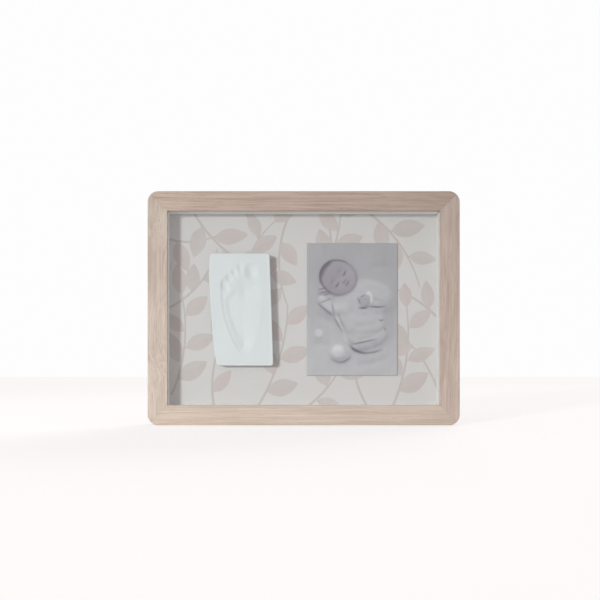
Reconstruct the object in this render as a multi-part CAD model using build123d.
"""Deep wooden display frame that holds a clay footprint and a photograph behind glass.

Frame of reference: X to the right as seen from the front, +Z up, the front faces -Y.
The origin is the centre of the bottom face, which the frame stands on. All sizes are in millimetres.
"""

import os

from build123d import *

# Wooden moulding: overall size, width of its face and rounding of its corners and edges
frame_width = 300.0
frame_height = 225.0
face_width = 19.0
corner_radius = 10.5
lip_depth = 3.5
rebate_width = 5.2
outer_edge_round = 1.2
lip_edge_round = 0.4
back_edge_round = 0.6

# Layers behind the lip, from the front to the back
glass_thickness = 2.0
spacer_depth = 16.5
sheet_thickness = 0.5
board_thickness = 3.0

# Clearances between each layer and the rebate wall
glass_gap = 0.5
spacer_gap = 0.1
sheet_gap = 0.5
board_gap = 0.4
board_corner_radius = 2.0
glass_edge_chamfer = 0.25

# Metal corner wedges, driven in from the back across each mitre
wedge_wing = 4.2
wedge_thickness = 0.6
wedge_depth = 10.0
wedge_place_shares = (0.42, 0.72)

# Clay slab: a hand-cut block, a little wider at the top, leaning, with its left side bowed out
slab_top_width = 57.8
slab_bottom_width = 54.4
slab_height = 109.0
slab_thickness = 12.2
slab_lean = 5.4
slab_left_bow = 2.8
slab_corner_radius = 2.8
slab_edge_round = 1.8
slab_centre_shares = (0.274, 0.496)

# Foam tape that holds the slab on the printed sheet
slab_tape_thickness = 0.8
slab_tape_width = 12.0
slab_tape_length = 84.0
slab_tape_spacing = 30.0

# Footprint pressed into the slab. Its outline and toes are shares of the foot's width and length
foot_length = 86.0
foot_width = 36.0
foot_lift = 3.0
sole_depth = 3.0
sole_floor_share = 0.80
sole_outline_shares = (
    (0.03, -0.50), (0.22, -0.465), (0.32, -0.37), (0.30, -0.235), (0.24, -0.08), (0.305, 0.06),
    (0.42, 0.175), (0.36, 0.262), (0.15, 0.275), (-0.07, 0.250), (-0.28, 0.195), (-0.46, 0.12),
    (-0.51, 0.0), (-0.46, -0.15), (-0.33, -0.325), (-0.17, -0.455),
)
# Each toe from the big one outwards: its place, half width, length over width, and depth
toe_place_shares = ((0.30, 0.408), (-0.045, 0.432), (-0.175, 0.378), (-0.345, 0.320), (-0.465, 0.235))
toe_half_widths = (5.8, 3.4, 3.2, 3.1, 3.0)
toe_length_shares = (1.35, 1.20, 1.15, 1.10, 1.15)
toe_depths = (3.4, 2.6, 2.4, 2.2, 2.0)

# Photographic print and the tape that holds it
photo_width = 89.0
photo_height = 130.0
photo_thickness = 0.3
photo_centre_shares = (0.685, 0.500)
photo_tape_thickness = 0.4
photo_tape_size = 14.0
photo_tape_inset = 9.0

# Turn buttons that hold the back board in
button_width = 7.2
button_tip_width = 5.2
button_outer_reach = 9.2
button_inner_reach = 3.6
button_thickness = 1.2
button_float = 0.15
button_edge_chamfer = 0.2
button_pivot_inset = 4.6
button_spread_share = 0.5

# Pan-head screws for the turn buttons and the hangers
screw_radius = 1.4
screw_length = 10.0
screw_point = 2.4
screw_head_radius = 2.9
screw_head_height = 1.7
screw_head_round = 0.8
screw_slot_length = 3.2
screw_slot_width = 0.7
screw_slot_depth = 0.9
pilot_clearance = 0.03
pivot_clearance = 0.08
strap_hole_clearance = 0.1
head_seat_gap = 0.05

# Hangers: a steel strap rolled into an eye, and a D-shaped wire ring that hangs in it
strap_width = 8.4
strap_length = 20.0
strap_thickness = 0.8
strap_screw_drop = 15.6
strap_edge_chamfer = 0.15
eye_clearance = 0.08
ring_wire_radius = 0.8
ring_half_width = 6.3
ring_straight_side = 3.2
ring_corner_radius = 1.7
ring_lift = 0.4
hanger_inset = 7.6
hanger_height_share = 0.72

# Rubber bumpers that keep the hung frame off the wall
bumper_radius = 4.5
bumper_thickness = 4.0
bumper_dome_round = 1.6
bumper_inset_share = 0.11

# One overrun for every cut that has to pass right through, and a quarter of a turn in degrees
cut_overrun = 1.0
quarter_turn = 90

# Sizes that follow
opening_width = frame_width - 2 * face_width
opening_height = frame_height - 2 * face_width
rebate_opening_width = opening_width + 2 * rebate_width
rebate_opening_height = opening_height + 2 * rebate_width
back_wood_width = face_width - rebate_width
frame_depth = lip_depth + glass_thickness + spacer_depth + sheet_thickness + board_thickness
centre_z = frame_height / 2

front_y = -frame_depth / 2
back_y = frame_depth / 2
glass_y = front_y + lip_depth
spacer_y = glass_y + glass_thickness
sheet_y = spacer_y + spacer_depth
board_y = sheet_y + sheet_thickness

ring_y = back_y + strap_thickness + ring_wire_radius + ring_lift
eye_inner_radius = ring_wire_radius + eye_clearance
eye_outer_radius = eye_inner_radius + strap_thickness
hanger_x = frame_width / 2 - hanger_inset
hanger_z = frame_height * hanger_height_share


def layer(outline, start_y, thickness):
    """Extrudes a flat outline, drawn with X to the right and up as Z, from start_y towards the back.

    Sketches lie on a plane whose X is the frame's X, whose Y is the frame's Z and whose origin is the
    frame's bottom centre. That plane faces the front, so the extrusion goes against its normal.
    """
    plane = Plane(origin=(0, start_y, 0), x_dir=(1, 0, 0), z_dir=(0, -1, 0))
    return extrude(plane * outline, amount=-thickness)


def place_in_opening(shares):
    """The point at these shares of the front opening, counted from its lower left corner."""
    return (
        (shares[0] - 1 / 2) * opening_width,
        face_width + shares[1] * opening_height,
    )


def turn_button_places():
    """Name, pivot X, pivot Z and turn of each button. At no turn the long arm points down."""
    spread = opening_width * button_spread_share / 2
    inner_x = rebate_opening_width / 2 + button_pivot_inset
    low_z = face_width - rebate_width - button_pivot_inset
    high_z = frame_height - low_z
    return [
        ("turn_button_top_left", -spread, high_z, 0),
        ("turn_button_top_right", spread, high_z, 0),
        ("turn_button_bottom_left", -spread, low_z, 2 * quarter_turn),
        ("turn_button_bottom_right", spread, low_z, 2 * quarter_turn),
        ("turn_button_side_left", -inner_x, centre_z, -quarter_turn),
        ("turn_button_side_right", inner_x, centre_z, quarter_turn),
    ]


def corner_wedge_outline(sign_x, top, share):
    """L-shaped section of one corner wedge, its corner on the mitre line and its wings pointing inwards."""
    step = back_wood_width * share
    across = -sign_x
    up = -1 if top else 1
    x = sign_x * (frame_width / 2 - step)
    z = frame_height - step if top else step
    wing, wall = wedge_wing, wedge_thickness
    corners = [(0, 0), (wing, 0), (wing, wall), (wall, wall), (wall, wing), (0, wing)]
    points = [(x + across * a, z + up * b) for a, b in corners]
    return make_face(Polyline(*points, close=True))


def corner_wedges():
    """The eight wedges, two at each corner, as separate solids."""
    start = back_y - wedge_depth
    return [
        layer(corner_wedge_outline(sign_x, top, share), start, wedge_depth)
        for sign_x in (-1, 1)
        for top in (False, True)
        for share in wedge_place_shares
    ]


def screw_places():
    """X, Z and seat Y of every screw: the seat is the plane that its head bears on."""
    button_seat = back_y + button_float + button_thickness + button_float
    strap_seat = back_y + strap_thickness + head_seat_gap
    buttons = [(x, z, button_seat) for _, x, z, _ in turn_button_places()]
    straps = [(side * hanger_x, hanger_z - strap_screw_drop, strap_seat) for side in (-1, 1)]
    return buttons, straps


def pilot_holes():
    """Blind holes in the wood, one for each screw, as deep as the screw goes in with its clearance."""
    buttons, straps = screw_places()
    holes = []
    for x, z, seat_y in buttons + straps:
        depth = screw_length - (seat_y - back_y)
        hole = Pos(x, 0, z) * layer(
            Circle(screw_radius + pilot_clearance), back_y - depth - pilot_clearance,
            depth + pilot_clearance + cut_overrun,
        )
        holes.append(hole)
    return holes


def moulding_ring():
    """The whole wooden ring before it is cut at the mitres: lip, rebate, rounded corners and edges."""
    outer = Pos(0, centre_z) * RectangleRounded(frame_width, frame_height, corner_radius)
    body = layer(outer, front_y, frame_depth)
    front_edges = body.faces().sort_by(Axis.Y)[0].edges()
    body = fillet(front_edges, outer_edge_round)
    back_edges = body.faces().sort_by(Axis.Y)[-1].edges()
    body = fillet(back_edges, back_edge_round)
    window = Pos(0, centre_z) * Rectangle(opening_width, opening_height)
    body -= layer(window, front_y - cut_overrun, frame_depth + 2 * cut_overrun)
    front_face = body.faces().sort_by(Axis.Y)[0]
    body = fillet(front_face.inner_wires()[0].edges(), lip_edge_round)
    rebate = Pos(0, centre_z) * Rectangle(rebate_opening_width, rebate_opening_height)
    body -= layer(rebate, glass_y, frame_depth - lip_depth + cut_overrun)
    for tool in corner_wedges() + pilot_holes():
        body -= tool
    return body


def mitred_mouldings():
    """The four lengths of moulding, cut from the ring along the 45 degree mitre lines."""
    half_width, half_height = frame_width / 2, frame_height / 2
    reach = half_height
    top = [(-half_width, frame_height), (half_width, frame_height),
           (half_width - reach, half_height), (reach - half_width, half_height)]
    bottom = [(x, frame_height - z) for x, z in top]
    right = [(half_width, 0), (half_width, frame_height), (half_width - reach, half_height)]
    left = [(-x, z) for x, z in right]
    ring = moulding_ring()
    pieces = {}
    for name, points in (("top", top), ("bottom", bottom), ("left", left), ("right", right)):
        sector = layer(make_face(Polyline(*points, close=True)), front_y, frame_depth)
        pieces[f"moulding_{name}"] = ring & sector
    return pieces


def glass_pane():
    """Front glazing, seated against the back of the lip, with ground edges."""
    width = rebate_opening_width - 2 * glass_gap
    height = rebate_opening_height - 2 * glass_gap
    pane = layer(Pos(0, centre_z) * Rectangle(width, height), glass_y, glass_thickness)
    rims = pane.faces().sort_by(Axis.Y)[0].edges() + pane.faces().sort_by(Axis.Y)[-1].edges()
    return chamfer(rims, glass_edge_chamfer)


def spacer_strips():
    """Four strips that hold the glass off the printed sheet, flush with the lip of the moulding."""
    strip = rebate_width - spacer_gap
    width = rebate_opening_width - 2 * spacer_gap
    height = rebate_opening_height - 2 * spacer_gap - 2 * strip
    mid_x = width / 2 - strip / 2
    mid_z = height / 2 + strip / 2
    along = Rectangle(width, strip)
    upright = Rectangle(strip, height)
    places = {
        "spacer_top": Pos(0, centre_z + mid_z) * along,
        "spacer_bottom": Pos(0, centre_z - mid_z) * along,
        "spacer_left": Pos(-mid_x, centre_z) * upright,
        "spacer_right": Pos(mid_x, centre_z) * upright,
    }
    return {name: layer(outline, spacer_y, spacer_depth) for name, outline in places.items()}


def printed_sheet():
    """The sheet that shows behind the slab and the photograph."""
    width = rebate_opening_width - 2 * sheet_gap
    height = rebate_opening_height - 2 * sheet_gap
    return layer(Pos(0, centre_z) * Rectangle(width, height), sheet_y, sheet_thickness)


def back_board():
    """Fibreboard back, flush with the back of the moulding."""
    width = rebate_opening_width - 2 * board_gap
    height = rebate_opening_height - 2 * board_gap
    outline = Pos(0, centre_z) * RectangleRounded(width, height, board_corner_radius)
    return layer(outline, board_y, board_thickness)


def slab_outline():
    """The slab's outline about its own centre: wider at the top, leaning, its left side bowed out."""
    half_height = slab_height / 2
    top_x, bottom_x = -slab_lean / 2, slab_lean / 2
    top_left = (top_x - slab_top_width / 2, half_height)
    top_right = (top_x + slab_top_width / 2, half_height)
    bottom_right = (bottom_x + slab_bottom_width / 2, -half_height)
    bottom_left = (bottom_x - slab_bottom_width / 2, -half_height)
    bow = ((top_left[0] + bottom_left[0]) / 2 - slab_left_bow, 0)
    straight_sides = Polyline(top_left, top_right, bottom_right, bottom_left)
    left_side = ThreePointArc(bottom_left, bow, top_left)
    face = make_face([straight_sides, left_side])
    return fillet(face.vertices(), slab_corner_radius)


def sole_print(slab_front_y):
    """The sole's print as a solid that tapers inwards from the slab's front face to its floor."""
    def sole_face(share, y):
        points = [(a * foot_width * share, b * foot_length * share) for a, b in sole_outline_shares]
        plane = Plane(origin=(0, y, foot_lift), x_dir=(1, 0, 0), z_dir=(0, -1, 0))
        return plane * make_face(Spline(*points, periodic=True))

    taper = (1 - sole_floor_share) / sole_depth
    rim_share = 1 + taper * cut_overrun
    rim = sole_face(rim_share, slab_front_y - cut_overrun)
    floor = sole_face(sole_floor_share, slab_front_y + sole_depth)
    return loft([rim, floor])


def toe_print(slab_front_y, place_shares, half_width, length_share, depth):
    """One toe's print as an egg-shaped solid that dips into the slab's front face."""
    across_radius = (half_width ** 2 + depth ** 2) / (2 * depth)
    along_radius = across_radius * length_share
    half_egg = Ellipse(across_radius, along_radius) & Pos(across_radius, 0) * Rectangle(
        2 * across_radius, 2 * along_radius
    )
    egg = revolve(Plane.XZ * half_egg, axis=Axis.Z)
    across, along = place_shares
    centre_y = slab_front_y - across_radius + depth
    return Pos(across * foot_width, centre_y, foot_lift + along * foot_length) * egg


def footprint_cuts(slab_front_y):
    """The sole and the five toe prints, as solids to cut from a slab centred on the Y axis."""
    toes = zip(toe_place_shares, toe_half_widths, toe_length_shares, toe_depths)
    return [sole_print(slab_front_y)] + [toe_print(slab_front_y, *toe) for toe in toes]


def clay_slab():
    """White clay block with softly rounded front edges and a footprint pressed into it."""
    start_y = sheet_y - slab_tape_thickness - slab_thickness
    block = layer(slab_outline(), start_y, slab_thickness)
    block = fillet(block.faces().sort_by(Axis.Y)[0].edges(), slab_edge_round)
    for cut in footprint_cuts(start_y):
        block -= cut
    x, z = place_in_opening(slab_centre_shares)
    return Pos(x, 0, z) * block


def slab_tape():
    """Two strips of foam tape between the slab and the sheet."""
    x, z = place_in_opening(slab_centre_shares)
    strip = Rectangle(slab_tape_width, slab_tape_length)
    return [
        layer(Pos(x + side * slab_tape_spacing / 2, z) * strip,
              sheet_y - slab_tape_thickness, slab_tape_thickness)
        for side in (-1, 1)
    ]


def photo_print():
    """The photographic print."""
    outline = Pos(*place_in_opening(photo_centre_shares)) * Rectangle(photo_width, photo_height)
    return layer(outline, sheet_y - photo_tape_thickness - photo_thickness, photo_thickness)


def photo_tape():
    """Four squares of double-sided tape behind the corners of the print."""
    x, z = place_in_opening(photo_centre_shares)
    square = Rectangle(photo_tape_size, photo_tape_size)
    across = photo_width / 2 - photo_tape_inset - photo_tape_size / 2
    up = photo_height / 2 - photo_tape_inset - photo_tape_size / 2
    return [
        layer(Pos(x + side_x * across, z + side_z * up) * square,
              sheet_y - photo_tape_thickness, photo_tape_thickness)
        for side_x in (-1, 1)
        for side_z in (-1, 1)
    ]


def turn_button():
    """One stamped button about its pivot: a wide round end, a narrower tip below and a pivot hole."""
    pivot_end = Circle(button_width / 2)
    top_end = Pos(0, button_inner_reach - button_width / 2) * Circle(button_width / 2)
    tip = Pos(0, button_tip_width / 2 - button_outer_reach) * Circle(button_tip_width / 2)
    outline = make_hull((pivot_end + top_end + tip).edges())
    plate = layer(outline, back_y + button_float, button_thickness)
    rims = plate.faces().sort_by(Axis.Y)[-1].edges()
    plate = chamfer(rims, button_edge_chamfer)
    hole = layer(Circle(screw_radius + pivot_clearance), back_y - cut_overrun,
                 button_thickness + button_float + 2 * cut_overrun)
    return plate - hole


def turn_buttons():
    """The six buttons in place, closed over the edge of the back board."""
    button = turn_button()
    placed = {}
    for name, x, z, turn in turn_button_places():
        placed[name] = Pos(x, 0, z) * Rot(0, turn, 0) * button
    return placed


def pan_head_screw(seat_y):
    """A screw on the Y axis with its head bearing at seat_y: shank, point, domed head and cross recess."""
    shank_length = screw_length - screw_point
    shank = layer(Circle(screw_radius), seat_y - shank_length, shank_length)
    point = Pos(0, seat_y - shank_length - screw_point / 2, 0) * Rot(quarter_turn, 0, 0) * Cone(
        screw_radius, screw_slot_width / 2, screw_point
    )
    head = layer(Circle(screw_head_radius), seat_y, screw_head_height)
    head = fillet(head.faces().sort_by(Axis.Y)[-1].edges(), screw_head_round)
    slot = Rectangle(screw_slot_length, screw_slot_width)
    slot_y = seat_y + screw_head_height - screw_slot_depth
    for turn in (0, quarter_turn):
        head -= layer(Rot(0, 0, turn) * slot, slot_y, screw_slot_depth + cut_overrun)
    return shank + point + head


def screws():
    """The turn-button screws and the hanger screws, each set as separate solids."""
    buttons, straps = screw_places()
    return (
        [Pos(x, 0, z) * pan_head_screw(seat_y) for x, z, seat_y in buttons],
        [Pos(x, 0, z) * pan_head_screw(seat_y) for x, z, seat_y in straps],
    )


def hanger_strap():
    """One strap about the ring's axis: a plate against the wood that runs up into a rolled eye."""
    plate_top = strap_length - strap_width / 2
    outline = Pos(0, -plate_top / 2) * Rectangle(strap_width, plate_top)
    outline += Pos(0, -plate_top) * Circle(strap_width / 2)
    outline -= Pos(0, -strap_screw_drop) * Circle(screw_radius + strap_hole_clearance)
    plate = layer(outline, back_y, strap_thickness)
    rims = plate.faces().sort_by(Axis.Y)[-1].edges()
    plate = chamfer(rims, strap_edge_chamfer)
    eye = Pos(0, ring_y, 0) * Rot(0, quarter_turn, 0) * Cylinder(eye_outer_radius, strap_width)
    bore = Pos(0, ring_y, 0) * Rot(0, quarter_turn, 0) * Cylinder(eye_inner_radius, strap_width + 2 * cut_overrun)
    return plate + eye - bore


def hanger_ring():
    """One D-shaped ring of round wire about its axis, hanging down: a straight bar and a round bow."""
    bow_drop = ring_corner_radius + ring_straight_side
    upright = Pos(0, -bow_drop / 2) * Rectangle(2 * ring_half_width, bow_drop)
    upper_half = Pos(0, ring_half_width / 2) * Rectangle(2 * ring_half_width, ring_half_width)
    outline = upright + Pos(0, -bow_drop) * (Circle(ring_half_width) - upper_half)
    outline = fillet(outline.vertices().group_by(Axis.Y)[-1], ring_corner_radius)
    plane = Plane(origin=(0, ring_y, 0), x_dir=(1, 0, 0), z_dir=(0, -1, 0))
    path = (plane * outline).face().outer_wire()
    section = Plane(origin=path @ 0, z_dir=path % 0) * Circle(ring_wire_radius)
    return sweep(section, path=path)


def wall_bumpers():
    """Two domed rubber discs on the back of the bottom moulding."""
    disc = layer(Circle(bumper_radius), back_y, bumper_thickness)
    disc = fillet(disc.faces().sort_by(Axis.Y)[-1].edges(), bumper_dome_round)
    x = frame_width * (1 / 2 - bumper_inset_share)
    z = back_wood_width / 2
    return [Pos(side * x, 0, z) * disc for side in (-1, 1)]


def all_pieces():
    """Every node's name and its solid or group of solids."""
    button_screws, hanger_screws = screws()
    strap, ring = hanger_strap(), hanger_ring()
    pieces = dict(mitred_mouldings())
    pieces["corner_wedges"] = corner_wedges()
    pieces["glass_pane"] = glass_pane()
    pieces.update(spacer_strips())
    pieces["printed_sheet"] = printed_sheet()
    pieces["clay_slab"] = clay_slab()
    pieces["slab_tape"] = slab_tape()
    pieces["photo_print"] = photo_print()
    pieces["photo_tape"] = photo_tape()
    pieces["back_board"] = back_board()
    pieces.update(turn_buttons())
    pieces["turn_button_screws"] = button_screws
    for side, name in ((-1, "left"), (1, "right")):
        pieces[f"hanger_strap_{name}"] = Pos(side * hanger_x, 0, hanger_z) * strap
        pieces[f"hanger_ring_{name}"] = Pos(side * hanger_x, 0, hanger_z) * ring
    pieces["hanger_screws"] = hanger_screws
    pieces["wall_bumpers"] = wall_bumpers()
    return pieces


os.makedirs("parts", exist_ok=True)
for node, shape in all_pieces().items():
    if isinstance(shape, list):
        shape = Compound(children=shape)
    export_step(shape, f"parts/{node}.step")
